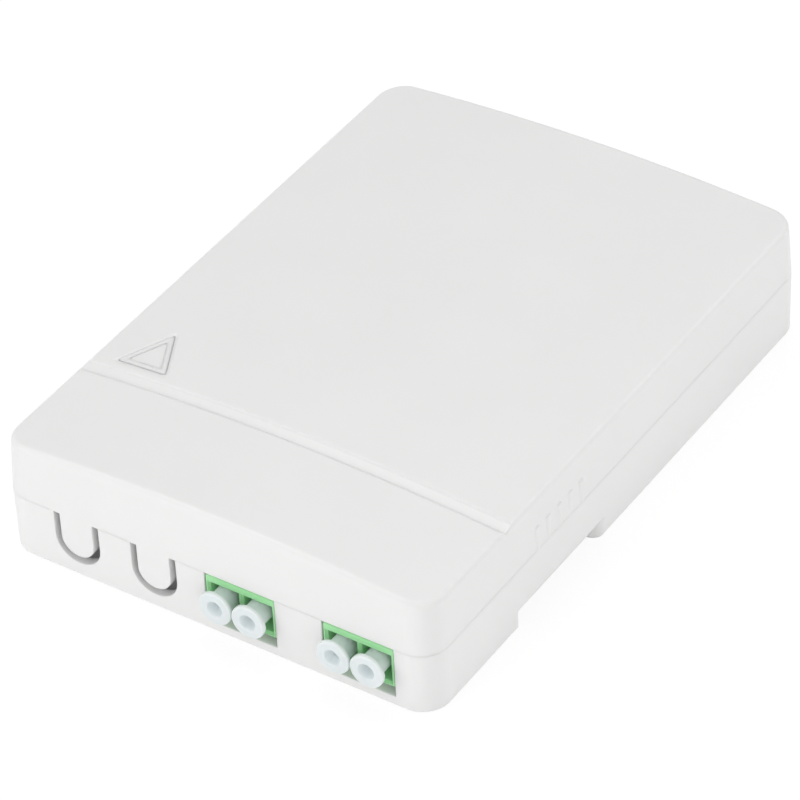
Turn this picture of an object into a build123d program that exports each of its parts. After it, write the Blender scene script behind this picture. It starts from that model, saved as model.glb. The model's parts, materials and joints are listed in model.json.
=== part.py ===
"""Fibre optic termination box for a wall.

A moulded base and a one-piece clip-on cover hold two duplex LC adapters, a
cable clamp behind two U-shaped cable entries, and a splice tray.
The box lies on its back: +Z points out of the wall, the ports face -Y, and
the origin is the middle of the underside that rests on the wall.
"""

import math
import os

from build123d import *

# Row of cable entries and adapters along the front, from the left wall to the right one
entry_from_left = 14.9
entry_pitch = 15.0
entry_to_adapter = 16.5
adapter_pitch = 22.1
adapter_from_right = 13.5

# Length of the box: set-back and length of the adapters, free room, tray, back gap
adapter_setback = 0.1
adapter_length = 27.0
room_behind_adapters = 26.9
tray_length = 57.0
tray_from_back = 5.0

# Outer shell
cover_height = 9.9
crown_rise = 1.9
corner_radius = 5.0
shell_wall = 2.0
roof_thickness = 1.9
floor_thickness = 2.0
base_lean = 0.05
cover_lean = 0.43
parting_gap = 0.02
bottom_round = 0.6
top_round = 0.9
fit_clearance = 0.3

# Groove across the cover
groove_start = 24.8
groove_edge = 0.25
groove_edge_drop = 0.3
groove_bevel = 2.2
groove_return = 0.8
groove_depth = 0.6

# Finger recesses and grips on the two long sides
grip_from_front = 37.8
recess_length = 22.5
recess_height = 3.7
recess_depth = 4.5
recess_corner = 1.9
recess_wall = 1.4
recess_mouth_round = 2.6
grip_height = 4.4
grip_rib_radius = 1.2
grip_rib_rise = 0.08
grip_rib_cap = 0.5
grip_rib_pitch = 3.3
grip_rib_count = 5

# Cable entries in the front wall, and the tongues that close them
entry_width = 8.7
entry_sill = 2.76
tongue_width = 6.3
tongue_drop = 7.65
tongue_thickness = 1.6

# Adapters
adapter_width = 13.0
adapter_height = 7.6
adapter_seat = 3.85
adapter_round = 0.3
window_clearance = 0.15
seat_rib_length = 4.0
adapter_headroom = 0.35
port_pitch = 6.25
port_web = 0.95
port_height = 5.35
port_drop = 0.45
web_thickness = 2.0
tower_diameter = 2.3
tower_height = 3.0
tower_bore = 1.35
collar_width = 15.3
collar_thickness = 1.6
clip_groove_length = 6.0
clip_groove_depth = 0.3
clip_groove_from_mouth = 3.0
post_width = 3.0
post_wall = 1.6
post_height = 7.0

# Ceramic sleeves inside the adapters
sleeve_diameter = 1.62
sleeve_bore = 1.25
sleeve_length = 6.8
sleeve_slit = 0.3
sleeve_clearance = 0.1

# Dust plugs
plug_gap = 0.15
plug_grip = 0.1
plug_stem_diameter = 4.1
plug_proud = 2.8
plug_head = 0.8
plug_depth = 10.5
plug_mouth_diameter = 3.0
plug_mouth_depth = 1.8
plug_edge_round = 0.3
plug_web = 1.0

# Cable clamp and its screws
clamp_from_front = 6.8
clamp_post_diameter = 4.4
clamp_post_height = 5.3
clamp_bar_length = 6.0
clamp_bar_thickness = 1.6
clamp_tooth_height = 0.8
clamp_tooth_width = 0.8
clamp_tooth_pitch = 2.0
screw_diameter = 2.2
screw_head_diameter = 4.2
screw_head_height = 1.4
screw_length = 6.0
screw_slot = 0.7
screw_clearance = 0.1

# Splice tray, its posts and the splice holder
tray_side_room = 6.0
tray_straight_end = 7.0
tray_floor = 1.2
tray_wall = 1.2
tray_depth = 8.0
tray_lift = 3.8
fibre_run = 12.3
spool_gap = 14.0
tab_width = 6.0
tab_reach = 4.0
tab_thickness = 1.0
fibre_gate_width = 9.0
fibre_gate_spacing = 40.0
tray_post_diameter = 6.0
tray_pin_diameter = 2.6
tray_post_spacing_x = 50.0
tray_post_spacing_y = 34.0
holder_length = 24.0
holder_height = 4.0
holder_floor = 1.0
splice_diameter = 2.6
splice_pitch = 3.4
splice_count = 4

# Wall screws
wall_hole_diameter = 4.2
wall_boss_diameter = 9.0
wall_boss_height = 1.5
wall_hole_from_side = 8.0
wall_hole_from_back = 8.0

# Snap arms and locating lips of the cover
arm_width = 10.0
arm_thickness = 1.4
arm_drop = 5.2
arm_nose = 0.5
nose_height = 1.5
catch_gap = 0.1
catch_relief = 0.7
catch_height = 0.8
rear_arm_from_back = 24.0
lip_drop = 2.0
lip_thickness = 1.2
back_lip_length = 50.0
side_lip_length = 20.0
hold_down_width = 10.0
hold_down_thickness = 1.5

# Sizes and places worked out from the ones above
box_width = entry_from_left + entry_pitch + entry_to_adapter + adapter_pitch + adapter_from_right
adapter_room = adapter_setback + adapter_length + room_behind_adapters
box_length = adapter_room + tray_length + tray_from_back
base_height = adapter_seat + adapter_height + adapter_headroom
edge_height = base_height + cover_height
front = -box_length / 2
back = box_length / 2
inner_front = front + shell_wall
cover_bottom = base_height + parting_gap
cover_top = edge_height + crown_rise
half_edge = box_width / 2 - cover_lean
crown_radius = (half_edge**2 + crown_rise**2) / (2 * crown_rise)
crown_centre = cover_top - crown_radius
cover_inner_width = 2 * (half_edge - shell_wall)
cover_inner_length = box_length - 2 * (cover_lean + shell_wall)
inner_corner = corner_radius - shell_wall
grip_y = front + grip_from_front
arm_places = [grip_y, back - rear_arm_from_back]
arm_face = box_width / 2 - shell_wall - fit_clearance
entry_x = -box_width / 2 + entry_from_left
entry_places = [entry_x, entry_x + entry_pitch]
adapter_x = box_width / 2 - adapter_from_right
adapter_places = [adapter_x - adapter_pitch, adapter_x]
adapter_mid_y = front + adapter_setback + adapter_length / 2
adapter_mid_z = adapter_seat + adapter_height / 2
half_length = adapter_length / 2
port_width = port_pitch - port_web
port_chamfer = 0.45 * port_web
plug_head_diameter = port_pitch - plug_gap
plug_bore_diameter = tower_diameter + 2 * plug_grip
clamp_y = front + clamp_from_front
clamp_places = [entry_x + (k - 0.5) * entry_pitch for k in range(3)]
clamp_seat = floor_thickness + clamp_post_height
tray_width = box_width - 2 * tray_side_room
tray_corner = (tray_length - tray_straight_end) / 2
spool_width = tray_width - 2 * tray_wall - 2 * fibre_run
spool_length = tray_length - 2 * tray_wall - 2 * fibre_run
tray_y = back - tray_from_back - tray_length / 2
tray_z = floor_thickness + tray_lift
tray_front = tray_y - tray_length / 2
wall_hole_spacing_x = box_width - 2 * wall_hole_from_side
wall_hole_spacing_y = back - wall_hole_from_back - tray_front
wall_hole_y = (back - wall_hole_from_back + tray_front) / 2

os.makedirs("parts", exist_ok=True)


def save(piece, name):
    """Label one finished piece and write it to its own file."""
    piece.label = name
    export_step(piece, f"parts/{name}.step")


# Base
with BuildPart() as base:
    # The wall leans in a little towards the underside.
    with BuildSketch(Plane.XY):
        RectangleRounded(box_width - 2 * base_lean, box_length - 2 * base_lean, corner_radius)
    with BuildSketch(Plane.XY.offset(base_height)):
        RectangleRounded(box_width, box_length, corner_radius)
    loft(ruled=True)
    fillet(base.edges().group_by(Axis.Z)[0], bottom_round)
    with BuildSketch(Plane.XY.offset(floor_thickness)):
        RectangleRounded(box_width - 2 * shell_wall, box_length - 2 * shell_wall, inner_corner)
    extrude(amount=base_height - floor_thickness, mode=Mode.SUBTRACT)

    # Wall and roof of the finger recess under each long side.
    with BuildSketch(Plane.XY.offset(floor_thickness)):
        with Locations((box_width / 2, grip_y), (-box_width / 2, grip_y)):
            RectangleRounded(
                2 * (recess_depth + recess_wall),
                recess_length + 2 * recess_wall,
                recess_corner + recess_wall,
            )
        Rectangle(box_width - shell_wall, box_length, mode=Mode.INTERSECT)
    extrude(amount=recess_height + recess_wall - floor_thickness)

    # Cable entries and adapter windows, all open at the parting line.
    with BuildSketch(Plane.XZ.offset(-inner_front)):
        for x in entry_places:
            with Locations((x, entry_sill + entry_width / 2)):
                Circle(entry_width / 2)
            with Locations((x, base_height)):
                Rectangle(
                    entry_width,
                    base_height - entry_sill - entry_width / 2,
                    align=(Align.CENTER, Align.MAX),
                )
        for x in adapter_places:
            with Locations((x, base_height)):
                Rectangle(
                    adapter_width + 2 * window_clearance,
                    base_height - floor_thickness,
                    align=(Align.CENTER, Align.MAX),
                )
    extrude(amount=2 * shell_wall, both=True, mode=Mode.SUBTRACT)

    # Bosses for the wall screws, in the four corners beside the tray.
    with BuildSketch(Plane.XY.offset(floor_thickness)):
        with Locations((0, wall_hole_y)):
            with GridLocations(wall_hole_spacing_x, wall_hole_spacing_y, 2, 2):
                Circle(wall_boss_diameter / 2)
    extrude(amount=wall_boss_height)
    with BuildSketch(Plane.XY):
        with Locations((0, wall_hole_y)):
            with GridLocations(wall_hole_spacing_x, wall_hole_spacing_y, 2, 2):
                Circle(wall_hole_diameter / 2)
    extrude(amount=floor_thickness + wall_boss_height, mode=Mode.SUBTRACT)

    # Posts that carry the tray, each with a pin.
    with BuildSketch(Plane.XY.offset(floor_thickness)):
        with Locations((0, tray_y)):
            with GridLocations(tray_post_spacing_x, tray_post_spacing_y, 2, 2):
                Circle(tray_post_diameter / 2)
    extrude(amount=tray_lift)
    with BuildSketch(Plane.XY.offset(floor_thickness)):
        with Locations((0, tray_y)):
            with GridLocations(tray_post_spacing_x, tray_post_spacing_y, 2, 2):
                Circle(tray_pin_diameter / 2)
    extrude(amount=tray_lift + 2 * tray_floor)

    # Screw posts of the cable clamp.
    with BuildSketch(Plane.XY.offset(floor_thickness)):
        with Locations(*[(x, clamp_y) for x in clamp_places]):
            Circle(clamp_post_diameter / 2)
            Circle(screw_diameter / 2 + screw_clearance, mode=Mode.SUBTRACT)
    extrude(amount=clamp_post_height)

    # Slotted posts that hold each adapter by its collar.
    post_offset = adapter_width / 2 + window_clearance + post_width / 2
    post_length = collar_thickness + 2 * fit_clearance + 2 * post_wall
    with BuildSketch(Plane.XY.offset(floor_thickness)):
        for x in adapter_places:
            with Locations(
                (x - post_offset, adapter_mid_y - collar_thickness / 2),
                (x + post_offset, adapter_mid_y - collar_thickness / 2),
            ):
                Rectangle(post_width, post_length)
            with Locations((x, adapter_mid_y - collar_thickness / 2)):
                Rectangle(
                    collar_width + 2 * fit_clearance,
                    collar_thickness + 2 * fit_clearance,
                    mode=Mode.SUBTRACT,
                )
    extrude(amount=post_height)

    # Hollow of the two finger recesses, with a rounded edge at each end of the mouth.
    for side in (1, -1):
        with BuildSketch(Plane.XY):
            with Locations((side * box_width / 2, grip_y)):
                RectangleRounded(2 * recess_depth, recess_length, recess_corner)
                Rectangle(2 * recess_mouth_round, recess_length + 2 * recess_mouth_round)
            with Locations((side * (box_width / 2 - recess_mouth_round), grip_y)):
                with GridLocations(0, recess_length + 2 * recess_mouth_round, 1, 2):
                    Circle(recess_mouth_round, mode=Mode.SUBTRACT)
        extrude(amount=recess_height, mode=Mode.SUBTRACT)

    # Ribs that the adapters rest on.
    with BuildSketch(Plane.XY.offset(floor_thickness)):
        for x in adapter_places:
            with Locations((x, adapter_mid_y)):
                with GridLocations(0, half_length, 1, 2):
                    Rectangle(adapter_width, seat_rib_length)
    extrude(amount=adapter_seat - floor_thickness)

    # Reliefs in the wall for the snap arms, each crossed by a catch ridge.
    for side in (1, -1):
        with BuildSketch(Plane.XY.offset(cover_bottom - arm_drop - fit_clearance)):
            with Locations(*[(side * (box_width / 2 - shell_wall), y) for y in arm_places]):
                Rectangle(2 * catch_relief, arm_width + 2 * fit_clearance)
        extrude(amount=box_length, mode=Mode.SUBTRACT)
        catch_depth = catch_relief - (arm_nose - fit_clearance) - catch_gap
        catch_bottom = cover_bottom - arm_drop + nose_height + 2 * fit_clearance
        with BuildSketch(Plane.XY.offset(catch_bottom)):
            catch_x = side * (box_width / 2 - shell_wall + catch_relief - catch_depth / 2)
            with Locations(*[(catch_x, y) for y in arm_places]):
                Rectangle(catch_depth, arm_width + 2 * fit_clearance)
        extrude(amount=catch_height)
save(base.part, "base")


# Hollow inside the cover
with BuildPart() as cover_hollow:
    with BuildSketch(Plane.XY.offset(cover_bottom)):
        RectangleRounded(cover_inner_width, cover_inner_length, inner_corner)
    extrude(amount=cover_top - cover_bottom)
    with BuildSketch(Plane.XZ):
        with Locations((0, crown_centre)):
            Circle(crown_radius - roof_thickness)
    extrude(amount=box_length, both=True, mode=Mode.INTERSECT)

# Cover
with BuildPart() as cover:
    # The walls lean in towards a top that is crowned across its width.
    lean_rate = cover_lean / (edge_height - cover_bottom)
    top_inset = lean_rate * (cover_top - cover_bottom)
    with BuildSketch(Plane.XY.offset(cover_bottom)):
        RectangleRounded(box_width, box_length, corner_radius)
    with BuildSketch(Plane.XY.offset(cover_top)):
        RectangleRounded(box_width - 2 * top_inset, box_length - 2 * top_inset, corner_radius)
    loft(ruled=True)
    with BuildSketch(Plane.XZ):
        with Locations((0, crown_centre)):
            Circle(crown_radius)
    extrude(amount=box_length, both=True, mode=Mode.INTERSECT)
    fillet(cover.faces().sort_by(Axis.Z)[-1].edges(), top_round)
    add(cover_hollow.part, mode=Mode.SUBTRACT)

    # Groove across the top: a short drop, a long bevel and a steep return.
    with BuildSketch(Plane.YZ):
        with BuildLine():
            Polyline(
                (front + groove_start, cover_top),
                (front + groove_start - groove_edge, cover_top - groove_edge_drop),
                (front + groove_start - groove_bevel, cover_top - groove_depth),
                (front + groove_start - groove_bevel - groove_return, cover_top),
                (front + groove_start - groove_bevel, cover_top + groove_depth),
                close=True,
            )
        make_face()
    revolve(axis=Axis((0, 0, crown_centre), (0, 1, 0)), mode=Mode.SUBTRACT)

    # Upright grip ribs with sloped tops on each side wall, just above the parting line.
    rib_foot = (Align.CENTER, Align.CENTER, Align.MIN)
    for side in (1, -1):
        rib_x = side * (box_width / 2 + grip_rib_rise - grip_rib_radius)
        with Locations((rib_x, grip_y, cover_bottom)):
            with GridLocations(0, grip_rib_pitch, 1, grip_rib_count):
                Cylinder(grip_rib_radius, grip_height, align=rib_foot)
        with Locations((rib_x, grip_y, cover_bottom + grip_height)):
            with GridLocations(0, grip_rib_pitch, 1, grip_rib_count):
                Cone(grip_rib_radius, grip_rib_radius - grip_rib_cap, grip_rib_cap, align=rib_foot)

    # Tongues that reach down into the cable entries.
    tongue_end = cover_bottom - tongue_drop
    with BuildSketch(Plane.XZ.offset(-(front + tongue_thickness))):
        for x in entry_places:
            with Locations((x, tongue_end + tongue_width / 2)):
                Circle(tongue_width / 2)
            with Locations((x, tongue_end + tongue_width / 2)):
                Rectangle(
                    tongue_width,
                    tongue_drop - tongue_width / 2,
                    align=(Align.CENTER, Align.MIN),
                )
    extrude(amount=tongue_thickness)

    # Snap arms with a sloped nose, on both long sides.
    arm_tip = cover_bottom - arm_drop
    for side in (1, -1):
        for y in arm_places:
            with BuildSketch(Plane.XZ.offset(-(y + arm_width / 2))):
                with BuildLine():
                    Polyline(
                        (side * arm_face, edge_height - roof_thickness),
                        (side * arm_face, arm_tip + nose_height + arm_nose),
                        (side * (arm_face + arm_nose), arm_tip + nose_height),
                        (side * (arm_face + arm_nose), arm_tip + arm_nose),
                        (side * arm_face, arm_tip),
                        (side * (arm_face - arm_thickness), arm_tip),
                        (side * (arm_face - arm_thickness), edge_height - roof_thickness),
                        close=True,
                    )
                make_face()
            extrude(amount=arm_width)

    # Locating lips inside the base wall.
    with BuildSketch(Plane.XY.offset(cover_bottom - lip_drop)):
        lip_x = arm_face - lip_thickness / 2
        with Locations(
            (lip_x, sum(arm_places) / 2),
            (-lip_x, sum(arm_places) / 2),
        ):
            Rectangle(lip_thickness, side_lip_length)
        with Locations((0, back - shell_wall - fit_clearance - lip_thickness / 2)):
            Rectangle(back_lip_length, lip_thickness)
    extrude(amount=2 * lip_drop)

    # Ribs that hold the adapters down.
    with BuildSketch(Plane.XY.offset(adapter_seat + adapter_height + fit_clearance)):
        for x in adapter_places:
            with Locations((x, adapter_mid_y)):
                with GridLocations(0, half_length, 1, 2):
                    Rectangle(hold_down_width, hold_down_thickness)
    extrude(until=Until.NEXT)
save(cover.part, "cover")


def adapter_half(has_collar):
    """Half of a duplex adapter, with its mouth at -Y and the joint at y = 0."""
    with BuildPart() as half:
        with BuildSketch(Plane.XZ):
            RectangleRounded(adapter_width, adapter_height, adapter_round)
        extrude(amount=half_length)
        chamfer(half.faces().sort_by(Axis.Y)[0].edges(), adapter_round / 2)
        if has_collar:
            with BuildSketch(Plane.XZ):
                Rectangle(collar_width, adapter_height)
            extrude(amount=collar_thickness)
        # Shallow side grooves for a panel clip.
        with BuildSketch(Plane.YZ):
            with Locations((clip_groove_from_mouth - half_length, 0)):
                Rectangle(clip_groove_length, port_height / 2, align=(Align.MIN, Align.CENTER))
        extrude(amount=adapter_width, both=True, mode=Mode.SUBTRACT)
        with BuildSketch(Plane.XZ):
            Rectangle(adapter_width - 2 * clip_groove_depth, adapter_height - 2 * adapter_round)
        extrude(amount=half_length - adapter_round)
        # Two ports with a bevelled mouth, and the sleeve tower in each.
        with BuildSketch(Plane.XZ.offset(web_thickness)):
            with Locations((0, -port_drop)):
                with GridLocations(port_pitch, 0, 2, 1):
                    Rectangle(port_width, port_height)
        extrude(amount=half_length - web_thickness, mode=Mode.SUBTRACT)
        mouth = half.faces().sort_by(Axis.Y)[0]
        for wire in mouth.inner_wires():
            chamfer(wire.edges(), port_chamfer)
        with BuildSketch(Plane.XZ.offset(web_thickness)):
            with GridLocations(port_pitch, 0, 2, 1):
                Circle(tower_diameter / 2)
        extrude(amount=tower_height)
        # The sleeve floats in a wide bore behind a narrower one.
        with BuildSketch(Plane.XZ):
            with GridLocations(port_pitch, 0, 2, 1):
                Circle(sleeve_diameter / 2 + sleeve_clearance)
        extrude(amount=sleeve_length / 2 + sleeve_clearance, mode=Mode.SUBTRACT)
        with BuildSketch(Plane.XZ):
            with GridLocations(port_pitch, 0, 2, 1):
                Circle(tower_bore / 2)
        extrude(amount=web_thickness + tower_height, mode=Mode.SUBTRACT)
    return half.part


def sleeve():
    """Split ceramic sleeve along Y, centred on the origin."""
    with BuildPart() as tube:
        with BuildSketch(Plane.XZ):
            Circle(sleeve_diameter / 2)
            Circle(sleeve_bore / 2, mode=Mode.SUBTRACT)
            Rectangle(
                sleeve_slit,
                sleeve_diameter,
                align=(Align.CENTER, Align.MIN),
                mode=Mode.SUBTRACT,
            )
        extrude(amount=sleeve_length / 2, both=True)
    return tube.part


def dust_plug():
    """Round hollow plug along Y: its head is at -Y, and the port's mouth at y = 0."""
    head = plug_head_diameter / 2
    stem = plug_stem_diameter / 2
    mouth = plug_mouth_diameter / 2
    floor = -plug_proud + plug_mouth_depth
    with BuildPart() as plug:
        with BuildSketch(Plane.XY):
            with BuildLine():
                Polyline(
                    (0, floor),
                    (mouth * 0.6, floor),
                    (mouth, -plug_proud),
                    (head, -plug_proud),
                    (head, -plug_proud + plug_head),
                    (stem, -plug_proud + plug_head),
                    (stem, plug_depth),
                    (plug_bore_diameter / 2, plug_depth),
                    (plug_bore_diameter / 2, floor + plug_web),
                    (0, floor + plug_web),
                    close=True,
                )
            make_face()
        revolve(axis=Axis.Y)
        fillet(plug.edges().filter_by(GeomType.CIRCLE).group_by(Axis.Y)[0], plug_edge_round)
    return plug.part


# Adapters with their sleeves and plugs
for number, x in enumerate(adapter_places, start=1):
    at = Location((x, adapter_mid_y, adapter_mid_z))
    save(adapter_half(True).moved(at), f"adapter_{number}_front_half")
    turned = at * Location((0, 0, 0), (0, 0, 180))
    save(adapter_half(False).moved(turned), f"adapter_{number}_rear_half")
    for count, offset in enumerate((-port_pitch / 2, port_pitch / 2), start=1):
        port = 2 * (number - 1) + count
        save(
            sleeve().moved(at * Location((offset, 0, 0))),
            f"alignment_sleeve_{port}",
        )
        save(
            dust_plug().moved(at * Location((offset, -half_length, 0))),
            f"dust_plug_{port}",
        )
        save(
            dust_plug().moved(at * Location((offset, half_length, 0), (0, 0, 180))),
            f"inner_plug_{port}",
        )


# Cable clamp
with BuildPart() as cable_clamp:
    bar_width = 2 * entry_pitch + clamp_post_diameter
    clamp_x = clamp_places[1]
    with BuildSketch(Plane.XY.offset(clamp_seat)):
        with Locations((clamp_x, clamp_y)):
            RectangleRounded(bar_width, clamp_bar_length, clamp_post_diameter / 2)
        with Locations(*[(x, clamp_y) for x in clamp_places]):
            Circle(screw_diameter / 2 + screw_clearance, mode=Mode.SUBTRACT)
    extrude(amount=clamp_bar_thickness)
    # Teeth that bite on the two cables.
    with BuildSketch(Plane.XY.offset(clamp_seat)):
        for x in entry_places:
            with Locations((x, clamp_y)):
                with GridLocations(0, clamp_tooth_pitch, 1, 3):
                    Rectangle(tongue_width, clamp_tooth_width)
    extrude(amount=-clamp_tooth_height)
save(cable_clamp.part, "cable_clamp")


# Clamp screws
with BuildPart() as clamp_screws:
    screw_seat = clamp_seat + clamp_bar_thickness
    with BuildSketch(Plane.XY.offset(screw_seat)):
        with Locations(*[(x, clamp_y) for x in clamp_places]):
            Circle(screw_head_diameter / 2)
    extrude(amount=screw_head_height)
    fillet(clamp_screws.edges().group_by(Axis.Z)[-1], screw_head_height / 3)
    with BuildSketch(Plane.XY.offset(screw_seat)):
        with Locations(*[(x, clamp_y) for x in clamp_places]):
            Circle(screw_diameter / 2)
    extrude(amount=-screw_length)
    chamfer(clamp_screws.edges().group_by(Axis.Z)[0], screw_diameter / 4)
    # Cross slots in the heads.
    with BuildSketch(Plane.XY.offset(screw_seat + screw_head_height / 2)):
        with Locations(*[(x, clamp_y) for x in clamp_places]):
            Rectangle(screw_slot, screw_head_diameter * 0.6)
            Rectangle(screw_head_diameter * 0.6, screw_slot)
    extrude(amount=screw_head_height, mode=Mode.SUBTRACT)
save(clamp_screws.part, "clamp_screws")


# Splice tray
with BuildPart() as splice_tray:
    with BuildSketch(Plane.XY.offset(tray_z)):
        with Locations((0, tray_y)):
            RectangleRounded(tray_width, tray_length, tray_corner)
            with GridLocations(tray_post_spacing_x, tray_post_spacing_y, 2, 2):
                Circle(tray_pin_diameter / 2 + fit_clearance / 2, mode=Mode.SUBTRACT)
    extrude(amount=tray_floor)
    # Outer rim and oval spool wall.
    with BuildSketch(Plane.XY.offset(tray_z + tray_floor)):
        with Locations((0, tray_y)):
            RectangleRounded(tray_width, tray_length, tray_corner)
            RectangleRounded(
                tray_width - 2 * tray_wall,
                tray_length - 2 * tray_wall,
                tray_corner - tray_wall,
                mode=Mode.SUBTRACT,
            )
            spool_corner = spool_length / 2 - tray_wall
            RectangleRounded(spool_width, spool_length, spool_corner)
            RectangleRounded(
                spool_width - 2 * tray_wall,
                spool_length - 2 * tray_wall,
                spool_corner - tray_wall,
                mode=Mode.SUBTRACT,
            )
            Rectangle(spool_width + tray_wall, spool_gap, mode=Mode.SUBTRACT)
        # Gates in the front of the rim let the fibres in.
        with Locations((0, tray_front)):
            with GridLocations(fibre_gate_spacing, 0, 2, 1):
                Rectangle(fibre_gate_width, 4 * tray_wall, mode=Mode.SUBTRACT)
    extrude(amount=tray_depth - tray_floor)
    # Tabs over the fibre run: four on the rim and two on the spool.
    with BuildSketch(Plane.XY.offset(tray_z + tray_depth)):
        for side in (1, -1):
            with Locations((side * tray_width / 2, tray_y)):
                Rectangle(2 * tab_reach, tab_width)
            with Locations((0, tray_y + side * tray_length / 2)):
                Rectangle(tab_width, 2 * tab_reach)
            with Locations((0, tray_y + side * spool_length / 2)):
                Rectangle(tab_width, 2 * tab_reach)
        with Locations((0, tray_y)):
            RectangleRounded(tray_width, tray_length, tray_corner, mode=Mode.INTERSECT)
            RectangleRounded(
                spool_width - 2 * tray_wall,
                spool_length - 2 * tray_wall,
                spool_corner - tray_wall,
                mode=Mode.SUBTRACT,
            )
    extrude(amount=-tab_thickness)
save(splice_tray.part, "splice_tray")


# Splice holder
with BuildPart() as splice_holder:
    holder_width = splice_count * splice_pitch + (splice_pitch - splice_diameter)
    groove_z = holder_floor + splice_diameter / 2
    with BuildSketch(Plane.YZ.offset(-holder_length / 2)):
        with Locations((tray_y, tray_z + tray_floor)):
            Rectangle(holder_width, holder_height, align=(Align.CENTER, Align.MIN))
        with Locations((tray_y, tray_z + tray_floor + groove_z)):
            with GridLocations(splice_pitch, 0, splice_count, 1):
                Circle(splice_diameter / 2, mode=Mode.SUBTRACT)
        with Locations((tray_y, tray_z + tray_floor + holder_height)):
            with GridLocations(splice_pitch, 0, splice_count, 1):
                Rectangle(
                    splice_diameter * 0.7,
                    2 * (holder_height - groove_z),
                    mode=Mode.SUBTRACT,
                )
    extrude(amount=holder_length)
save(splice_holder.part, "splice_holder")
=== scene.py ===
# %% [markdown]
# # A fibre optic termination box
#
# The box is a flat wall housing: an off-white moulded base, a crowned cover
# that snaps on, two green adapters behind windows in the front wall, and milky
# dust plugs in their ports. The engineering model already holds every solid at
# its real size. This lesson gives those solids their finish, adds the relief
# that is too fine for them, and sets up a plain studio with the camera at the
# angle of a product picture.

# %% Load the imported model
import json
import math

import bpy
import numpy as np
from mathutils import Matrix, Vector


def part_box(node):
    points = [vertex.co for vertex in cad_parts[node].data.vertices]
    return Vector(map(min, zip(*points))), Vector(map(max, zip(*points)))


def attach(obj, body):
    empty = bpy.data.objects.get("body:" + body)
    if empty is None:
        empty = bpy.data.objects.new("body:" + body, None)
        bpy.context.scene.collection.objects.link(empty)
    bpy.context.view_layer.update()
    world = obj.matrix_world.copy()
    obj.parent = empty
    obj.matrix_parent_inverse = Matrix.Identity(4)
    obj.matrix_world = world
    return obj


MM = 0.001
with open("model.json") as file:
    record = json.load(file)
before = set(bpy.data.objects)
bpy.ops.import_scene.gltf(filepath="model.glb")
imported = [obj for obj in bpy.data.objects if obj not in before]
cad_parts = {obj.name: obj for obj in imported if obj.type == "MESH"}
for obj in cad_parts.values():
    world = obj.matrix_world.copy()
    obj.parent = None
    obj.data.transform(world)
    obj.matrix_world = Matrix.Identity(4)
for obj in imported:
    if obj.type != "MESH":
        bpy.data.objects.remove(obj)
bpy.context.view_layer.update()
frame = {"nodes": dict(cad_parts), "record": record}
nodes = frame["nodes"]

# %% [markdown]
# The heights of the new relief come from the boxes of the solids, so nothing
# has to be fitted by eye. Each box is its lowest and its highest corner, in
# metres. The base ends at the parting line, where the cover sits on it.

# %% Measure the solids that carry new pieces
cover_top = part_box("cover")[1].z
parting_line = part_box("base")[1].z
print("cover top", round(cover_top / MM, 2), "mm, parting line", round(parting_line / MM, 2), "mm")

# %% [markdown]
# ## Shader maths as Python
#
# A material is a small graph. Wiring it by hand is long-winded, so one class
# wraps a socket and overloads the operators. An expression such as
# `0.4 + 0.1 * grain` then adds its own Math nodes, and every other node comes
# from one method that takes its type, its settings and its inputs.


# %% A socket that can be used in sums
class Wire:
    """One output of a node; sums and products with it become Math nodes."""

    def __init__(self, recipe, socket):
        self.recipe = recipe
        self.socket = socket

    def _sum(self, operation, first, second):
        return self.recipe.node("Math", {"operation": operation}, {0: first, 1: second})

    def __add__(self, other):
        return self._sum("ADD", self, other)

    def __sub__(self, other):
        return self._sum("SUBTRACT", self, other)

    def __rsub__(self, other):
        return self._sum("SUBTRACT", other, self)

    def __mul__(self, other):
        return self._sum("MULTIPLY", self, other)

    def __pow__(self, other):
        return self._sum("POWER", self, other)

    def at_least(self, least):
        """The larger of this value and another."""
        return self._sum("MAXIMUM", self, least)

    def at_most(self, most):
        """The smaller of this value and another."""
        return self._sum("MINIMUM", self, most)

    __radd__ = __add__
    __rmul__ = __mul__


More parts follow.
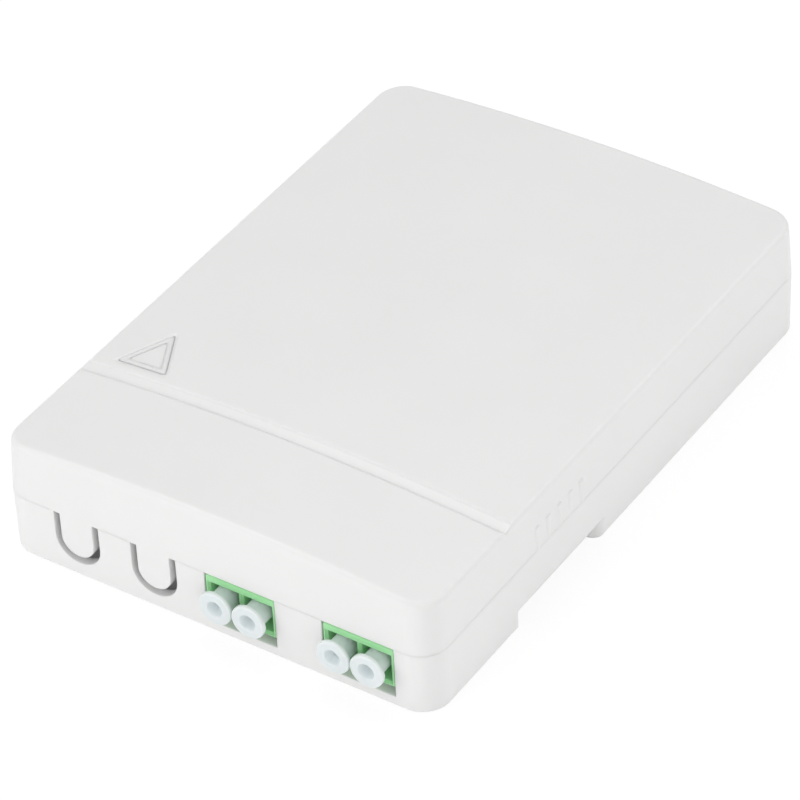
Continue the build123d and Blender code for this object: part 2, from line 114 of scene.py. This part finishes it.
# %% A material under construction
class Recipe:
    """A new material, and the means to add nodes to it."""

    def __init__(self, name):
        self.material = bpy.data.materials.new(name)
        self.material.use_nodes = True
        self.tree = self.material.node_tree
        self.tree.nodes.clear()
        self.output = self.tree.nodes.new("ShaderNodeOutputMaterial")

    def node(self, kind, settings=None, inputs=None, out=0):
        """Add a node, set it up, feed its inputs with numbers or wires, and give one output."""
        made = self.tree.nodes.new("ShaderNode" + kind)
        for key, value in (settings or {}).items():
            setattr(made, key, value)
        for key, value in (inputs or {}).items():
            if isinstance(value, Wire):
                self.tree.links.new(value.socket, made.inputs[key])
            else:
                made.inputs[key].default_value = value
        return Wire(self, made.outputs[out])

    def place(self):
        """Position on the piece in metres."""
        return self.node("TexCoord", out="Object")

    def noise(self, size, detail=2.0, roughness=0.5):
        """Smooth random field from 0 to 1 with lumps of about the given size in metres."""
        return self.node(
            "TexNoise",
            inputs={
                "Vector": self.place(),
                "Scale": 1 / size,
                "Detail": detail,
                "Roughness": roughness,
            },
        )

    def blend(self, factor, first, second):
        """Colour that goes from first to second as factor goes from 0 to 1."""
        inputs = {"Factor": factor, 6: (*first, 1), 7: (*second, 1)}
        return self.node("Mix", {"data_type": "RGBA"}, inputs, out=2)

    def ramp(self, value, start, end):
        """Goes smoothly from 0 to 1 as the value goes from start to end."""
        return self.node(
            "MapRange",
            {"interpolation_type": "SMOOTHSTEP"},
            {"Value": value, "From Min": start, "From Max": end},
        )

    def relief(self, height, depth, edge):
        """Normal bent by a height field, over edges rounded by the radius `edge`."""
        soft = self.node("Bevel", {"samples": 6}, {"Radius": edge})
        inputs = {"Height": height, "Distance": depth, "Strength": 1.0, "Normal": soft}
        return self.node("Bump", inputs=inputs)

    def close(self, shader):
        """End the material with a shader, and give the material."""
        self.tree.links.new(shader.socket, self.output.inputs["Surface"])
        return self.material

    def finish(self, **inputs):
        """End the material with a Principled shader, where base_color feeds Base Color."""
        named = {key.replace("_", " ").title(): value for key, value in inputs.items()}
        named = {key.replace("Ior", "IOR"): value for key, value in named.items()}
        return self.close(self.node("BsdfPrincipled", inputs=named))


# %% [markdown]
# ## A raised triangle near the groove
#
# The cover has a raised triangular border near its groove, in a shallow moat of
# its own. Both follow one outline. For each side of the triangle a dot product
# gives how far a point lies out towards that side. Summing those three
# distances with a high power, and taking the root again, gives the size of the
# rounded triangle that passes through the point. The higher the power, the
# sharper its corners. The border becomes a mesh of its own further down. The
# moat is only 0.1 mm deep, so a bump in the shell's finish does for it.

# %% Sizes of the triangle
triangle_x = -31.15 * MM
triangle_y = -28.35 * MM
triangle_stretch = 1.15
triangle_power = 10
triangle_sides = [math.radians(side) for side in (-90, 150, 30)]
border_reach = 2.92 * MM
moat_width = 0.5 * MM
moat_depth = 0.11 * MM
print("triangle sides face", [round(math.degrees(side)) for side in triangle_sides], "degrees")


# %% Outline of the triangle
def triangle_size(mix):
    """Size in millimetres of the rounded triangle that passes through each point.

    The size is the p-th root of the sum of max(distance towards a side, 0) to
    the power p, over the three sides, with distances along Y shrunk by the stretch.
    """
    offset = mix.node(
        "VectorMath",
        {"operation": "SUBTRACT"},
        {0: mix.place(), 1: (triangle_x, triangle_y, 0)},
    )
    flat = mix.node(
        "VectorMath",
        {"operation": "MULTIPLY"},
        {0: offset, 1: (1 / MM, 1 / MM / triangle_stretch, 0)},
    )
    total = 0
    for side in triangle_sides:
        towards = (math.cos(side), math.sin(side), 0)
        dot = {"operation": "DOT_PRODUCT"}
        reach = mix.node("VectorMath", dot, {0: flat, 1: towards}, out="Value")
        total = reach.at_least(0) ** triangle_power + total
    return total ** (1 / triangle_power)


def triangle_moat(mix):
    """Depth of the moat as a share: 1 on the outline, and 0 half a width in or a width out."""
    size = triangle_size(mix)
    bank = border_reach / MM
    width = moat_width / MM
    return mix.ramp(size, bank - width / 2, bank) - mix.ramp(size, bank, bank + width)


# %% [markdown]
# ## Finishes
#
# The shell is moulded ABS from a finely sparked tool: an even off-white, with
# a satin sheen that breaks up into a very fine grain when light grazes it. The
# colour hardly varies, so the life comes from roughness and a bump a few
# microns deep. The small cloud in the colour is the flow of the melt. Outer
# edges are softened in the shader. The two shells meet with crisp edges, and
# so do the small grip ribs above them, so that softening stops at a band of
# heights round the parting line.

# %% Sizes in the shell's finish
grain_depth = 0.012 * MM
shell_edge = 0.35 * MM
crisp_bottom = parting_line - 0.5 * MM
crisp_top = parting_line + 6 * MM
crisp_fade = 0.5 * MM
roof_low = cover_top - 2.2 * MM
roof_fade = 0.2 * MM
print("crisp edges from", round(crisp_bottom / MM, 1), "to", round(crisp_top / MM, 1), "mm")


# %% Shell plastic
def shell_plastic():
    """Off-white satin ABS: three parts of fine grain to one of ripple, less the moat."""
    mix = Recipe("shell_plastic")
    cloud = mix.noise(18 * MM, detail=3.0)
    grain = mix.noise(0.22 * MM, detail=2.0, roughness=0.6)
    ripple = mix.noise(4 * MM, detail=1.0)
    height = mix.node("SeparateXYZ", inputs={"Vector": mix.place()}, out="Z")
    above = mix.ramp(height, crisp_top, crisp_top + crisp_fade)
    below = mix.ramp(height, crisp_bottom, crisp_bottom - crisp_fade)
    moat = triangle_moat(mix)
    on_top = mix.ramp(height, roof_low, roof_low + roof_fade)
    skin = 0.75 * grain + 0.25 * ripple - (moat_depth / grain_depth) * moat * on_top
    return mix.finish(
        base_color=mix.blend(cloud, (0.803, 0.80, 0.797), (0.833, 0.83, 0.827)),
        roughness=0.30 + 0.06 * grain + 0.05 * cloud,
        normal=mix.relief(skin, grain_depth, edge=shell_edge * (above + below)),
        subsurface_weight=0.25,
        subsurface_radius=(1.0, 1.0, 1.0),
        subsurface_scale=1.2 * MM,
        ior=1.5,
    )


# %% [markdown]
# The tray and the splice holder are the same plastic from a polished tool, a
# shade greyer, so that they read as separate pieces once the cover is off.


# %% Tray plastic
def tray_plastic():
    """Pale grey moulded plastic with faint flow marks."""
    mix = Recipe("tray_plastic")
    cloud = mix.noise(9 * MM, detail=3.0)
    grain = mix.noise(0.3 * MM)
    return mix.finish(
        base_color=mix.blend(cloud, (0.66, 0.68, 0.70), (0.72, 0.735, 0.75)),
        roughness=0.34 + 0.08 * cloud,
        normal=mix.relief(grain, 0.008 * MM, edge=0.15 * MM),
        ior=1.5,
    )


# %% [markdown]
# The adapters are bright green. The tint is strongest where the plastic is
# thick, and thin edges let some light through, so some subsurface scattering
# keeps the edges from going black.


# %% Adapter plastic
def adapter_plastic():
    """Bright green moulded plastic, slightly glossy and a little translucent."""
    mix = Recipe("adapter_plastic")
    cloud = mix.noise(3 * MM, detail=2.0)
    grain = mix.noise(0.15 * MM)
    return mix.finish(
        base_color=mix.blend(cloud, (0.35, 0.75, 0.36), (0.40, 0.81, 0.41)),
        roughness=0.30 + 0.10 * grain,
        normal=mix.relief(0.8 * grain + 0.2 * cloud, 0.006 * MM, edge=0.18 * MM),
        subsurface_weight=0.35,
        subsurface_radius=(0.6, 1.0, 0.6),
        subsurface_scale=1.0 * MM,
        ior=1.53,
    )


# %% [markdown]
# Dust plugs are soft natural polyethylene. Light enters, scatters and leaves
# nearby, which gives the milky, slightly blue look with no hard shadow in the
# mouth. That is subsurface scattering with a radius of a millimetre or so.


# %% Plug plastic
def plug_plastic():
    """Milky, waxy polyethylene with a faint blue cast."""
    mix = Recipe("plug_plastic")
    cloud = mix.noise(2.5 * MM, detail=2.0)
    skin = mix.noise(0.12 * MM)
    return mix.finish(
        base_color=mix.blend(cloud, (0.72, 0.765, 0.785), (0.76, 0.805, 0.82)),
        roughness=0.38 + 0.10 * cloud,
        normal=mix.relief(0.5 * cloud + 0.5 * skin, 0.008 * MM, edge=0.12 * MM),
        subsurface_weight=1.0,
        subsurface_radius=(1.0, 1.0, 1.0),
        subsurface_scale=1.4 * MM,
        ior=1.51,
    )


# %% [markdown]
# Two finishes hide inside: ground zirconia, which is glossy and ivory, and
# zinc plate on the screws, a bright grey metal with a cloudy roughness.


# %% Ceramic and plated steel
def zirconia():
    """Ivory ground ceramic."""
    mix = Recipe("zirconia")
    cloud = mix.noise(0.8 * MM)
    return mix.finish(
        base_color=mix.blend(cloud, (0.83, 0.82, 0.76), (0.88, 0.87, 0.82)),
        roughness=0.15 + 0.08 * cloud,
        ior=2.1,
    )


def zinc_plate():
    """Bright zinc on steel, with a cloudy sheen."""
    mix = Recipe("zinc_plate")
    cloud = mix.noise(1.2 * MM, detail=3.0)
    grain = mix.noise(0.08 * MM)
    return mix.finish(
        base_color=mix.blend(cloud, (0.52, 0.53, 0.55), (0.64, 0.65, 0.67)),
        metallic=1.0,
        roughness=0.24 + 0.18 * cloud,
        normal=mix.relief(grain, 0.004 * MM, edge=0.08 * MM),
    )


# %% [markdown]
# The record of the engineering model names a material slot for each solid. One
# finish per slot is made once and shared, so pieces of one moulding match.

# %% Give each solid its finish
finishes = {
    "shell": shell_plastic(),
    "tray": tray_plastic(),
    "adapter": adapter_plastic(),
    "plug": plug_plastic(),
    "ceramic": zirconia(),
    "screw": zinc_plate(),
}
for entry in frame["record"]["subparts"]:
    solid = nodes[entry["node"]]
    solid.data.materials.clear()
    solid.data.materials.append(finishes[entry["material_slot"]])
print("finishes:", len(finishes))

# %% [markdown]
# ## Surfaces from formulas
#
# A new piece is a grid of points that numpy fills in one go from a formula of
# two parameters, `u` along the piece and `v` across it. One helper turns any
# such grid into a mesh and hangs it on the body that carries it.


# %% A grid of points becomes a piece
def grid_piece(name, points, body, slot, ring=False, tube=False):
    """Quads over a grid of points in metres.

    `ring` joins the last row to the first, and `tube` the last column to the first.
    """
    number = np.arange(points[..., 0].size).reshape(points.shape[:2])
    if ring:
        number = np.vstack((number, number[:1]))
    if tube:
        number = np.hstack((number, number[:, :1]))
    corners = (number[:-1, :-1], number[1:, :-1], number[1:, 1:], number[:-1, 1:])
    quads = np.stack(corners, axis=-1).reshape(-1, 4)
    mesh = bpy.data.meshes.new(name)
    mesh.from_pydata(points.reshape(-1, 3).tolist(), [], quads.tolist())
    mesh.shade_smooth()
    mesh.materials.append(finishes[slot])
    piece = bpy.data.objects.new(name, mesh)
    bpy.context.scene.collection.objects.link(piece)
    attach(piece, body)
    print(name, "has", len(quads), "faces")
    return piece


# %% [markdown]
# The border is a grid round the same outline that the moat in the shell
# plastic follows. In polar form the outline is the sum of powers turned into
# a radius for each direction, and scaling it keeps the sides parallel, so one
# factor per step across the ridge is enough. The crown of the cover is a
# circle of large radius, and the ridge stands on it. Its two feet lie just
# under the surface and are joined there, so the mesh is closed.

# %% Sizes of the border
border_width = 1.15 * MM
border_height = 0.26 * MM
border_sink = 0.03 * MM
dome_power = 2.2
crown_radius = 434.1 * MM
steps_round = 288
steps_across = 17


# %% Triangle border
def triangle_border(u, v):
    """Ridge along the outline: u goes round it, v from 0 outside to 1 inside.

    The radius is the outline's, less the width times v. The height is the crown's
    circle, plus a dome that falls from its middle with a power of the distance.
    """
    turn = 2 * np.pi * u
    sides = [np.maximum(np.cos(turn - side), 0) for side in triangle_sides]
    outline = sum(side**triangle_power for side in sides) ** (-1 / triangle_power)
    reach = (border_reach - border_width * v) * outline
    x = triangle_x + reach * np.cos(turn)
    y = triangle_y + reach * np.sin(turn) * triangle_stretch
    crown = cover_top - crown_radius + np.sqrt(crown_radius**2 - x**2)
    dome = 1 - np.abs(2 * v - 1) ** dome_power
    return np.stack((x, y, crown + border_height * dome - border_sink), axis=-1)


round_steps, cross_steps = np.meshgrid(
    np.arange(steps_round) / steps_round,
    0.5 - 0.5 * np.cos(np.pi * np.linspace(0, 1, steps_across)),
    indexing="ij",
)
ridge_points = triangle_border(round_steps, cross_steps)
grid_piece("triangle_border", ridge_points, "cover", "shell", ring=True, tube=True)

# %% [markdown]
# ## Studio
#
# The floor is white to the camera but keeps a soft shadow. Part of what the
# camera sees of it is a glow that only camera, mirror and glass rays pick up,
# and the rest is ordinary white paint that the object shades. It lies a hair
# under the box, so that the two flat faces don't flicker into each other.

# %% Sizes and shades of the floor
floor_half = 3.0
floor_drop = 0.05 * MM
paint_white = 0.94
glow_strength = 1.05
glow_share = 0.82


# %% Floor
def floor_paint():
    """White paint, with a share of glow that only the camera and reflections see."""
    mix = Recipe("floor_paint")
    seen = mix.node("LightPath", out="Is Camera Ray")
    mirrored = mix.node("LightPath", out="Is Glossy Ray")
    through = mix.node("LightPath", out="Is Transmission Ray")
    paint = mix.node("BsdfDiffuse", inputs={"Color": (paint_white, paint_white, paint_white, 1)})
    glow = mix.node("Emission", inputs={"Color": (1, 1, 1, 1), "Strength": glow_strength})
    share = (seen + mirrored + through).at_most(1.0)
    return mix.close(mix.node("MixShader", inputs={0: glow_share * share, 1: paint, 2: glow}))


floor_corners = [
    (x * floor_half, y * floor_half, -floor_drop)
    for x, y in ((-1, -1), (1, -1), (1, 1), (-1, 1))
]
floor_mesh = bpy.data.meshes.new("floor")
floor_mesh.from_pydata(floor_corners, [], [(0, 1, 2, 3)])
floor_mesh.materials.append(floor_paint())
floor = bpy.data.objects.new("floor", floor_mesh)
bpy.context.scene.collection.objects.link(floor)
print("floor:", 2 * floor_half, "m square")

# %% [markdown]
# The camera stands far off with a long lens, as product pictures are taken.
# Its place is given as an azimuth round the box, an elevation and a roll, so
# the three axes of the camera follow from these angles. Two small shifts along
# the picture's own axes centre the box in the frame.

# %% Camera angles and axes
view_azimuth = math.radians(34.81)
view_elevation = math.radians(39.02)
view_roll = math.radians(-2.90)
view_distance = 737.8 * MM
view_aside = -2.37 * MM
view_up = 4.88 * MM
lens_mm = 199.9
sensor_mm = 36.0
nearest_seen = 10 * MM

backward = Vector(
    (
        math.sin(view_azimuth) * math.cos(view_elevation),
        -math.cos(view_azimuth) * math.cos(view_elevation),
        math.sin(view_elevation),
    )
)
level = Vector((math.cos(view_azimuth), math.sin(view_azimuth), 0))
upright = backward.cross(level)
aside = math.cos(view_roll) * level + math.sin(view_roll) * upright
above = math.cos(view_roll) * upright - math.sin(view_roll) * level

# %% Camera
camera_data = bpy.data.cameras.new("camera")
camera_data.lens = lens_mm
camera_data.sensor_width = sensor_mm
camera_data.sensor_fit = "HORIZONTAL"
camera_data.clip_start = nearest_seen
camera = bpy.data.objects.new("camera", camera_data)
turn = Matrix((aside, above, backward)).transposed().to_4x4()
spot = backward * view_distance + aside * view_aside + above * view_up
camera.matrix_world = Matrix.Translation(spot) @ turn
bpy.context.scene.collection.objects.link(camera)
bpy.context.scene.camera = camera
print("camera at", [round(value / MM) for value in spot], "mm")


# %% [markdown]
# Soft boxes are area lamps. One low on the left lights the front wall, one high
# above lights the cover, a small one behind on the right keeps the long side
# from going dull, a broad one in front on the right fills the shadows, and the
# world adds the rest evenly. The low lamps are hidden from gloss, because from
# the far side they would lay a white glare over the flat cover. Two small lamps
# stand higher and show in gloss alone: they draw the bright line along the
# rounded long edge and along the lip of the groove.


# %% Lamps
def soft_box(name, place, size, power, lights=True, mirrored=True):
    """Square area lamp, turned towards the box.

    Its place and size are in metres and its power in watts. It falls on matt
    surfaces where it `lights`, and shows in gloss where it is `mirrored`.
    """
    data = bpy.data.lights.new(name, "AREA")
    data.shape = "SQUARE"
    data.size = size
    data.energy = power
    lamp = bpy.data.objects.new(name, data)
    lamp.visible_diffuse = lights
    lamp.visible_glossy = mirrored
    gaze = (-Vector(place)).to_track_quat("-Z", "Y")
    lamp.matrix_world = Matrix.Translation(place) @ gaze.to_matrix().to_4x4()
    bpy.context.scene.collection.objects.link(lamp)
    return lamp


lamps = [
    soft_box("key_lamp", (-0.32, -0.62, 0.36), size=0.5, power=1.95, mirrored=False),
    soft_box("top_lamp", (-0.3, 0.3, 1.0), size=0.6, power=2.4),
    soft_box("side_lamp", (0.7, 0.7, 0.5), size=0.3, power=2.15, mirrored=False),
    soft_box("fill_lamp", (0.75, -0.6, 0.3), size=0.7, power=2.0, mirrored=False),
    soft_box("edge_glint", (0.36, 0.70, 0.77), size=0.35, power=1.2, lights=False),
    soft_box("groove_glint", (-0.49, -0.25, 0.95), size=0.35, power=1.2, lights=False),
]
print("lamps:", [lamp.name for lamp in lamps])

# %% World
world_strength = 0.55
world = bpy.data.worlds.new("studio")
world.use_nodes = True
sky = world.node_tree.nodes["Background"]
sky.inputs["Color"].default_value = (1, 1, 1, 1)
sky.inputs["Strength"].default_value = world_strength
bpy.context.scene.world = world
bpy.context.scene.view_settings.view_transform = "Standard"
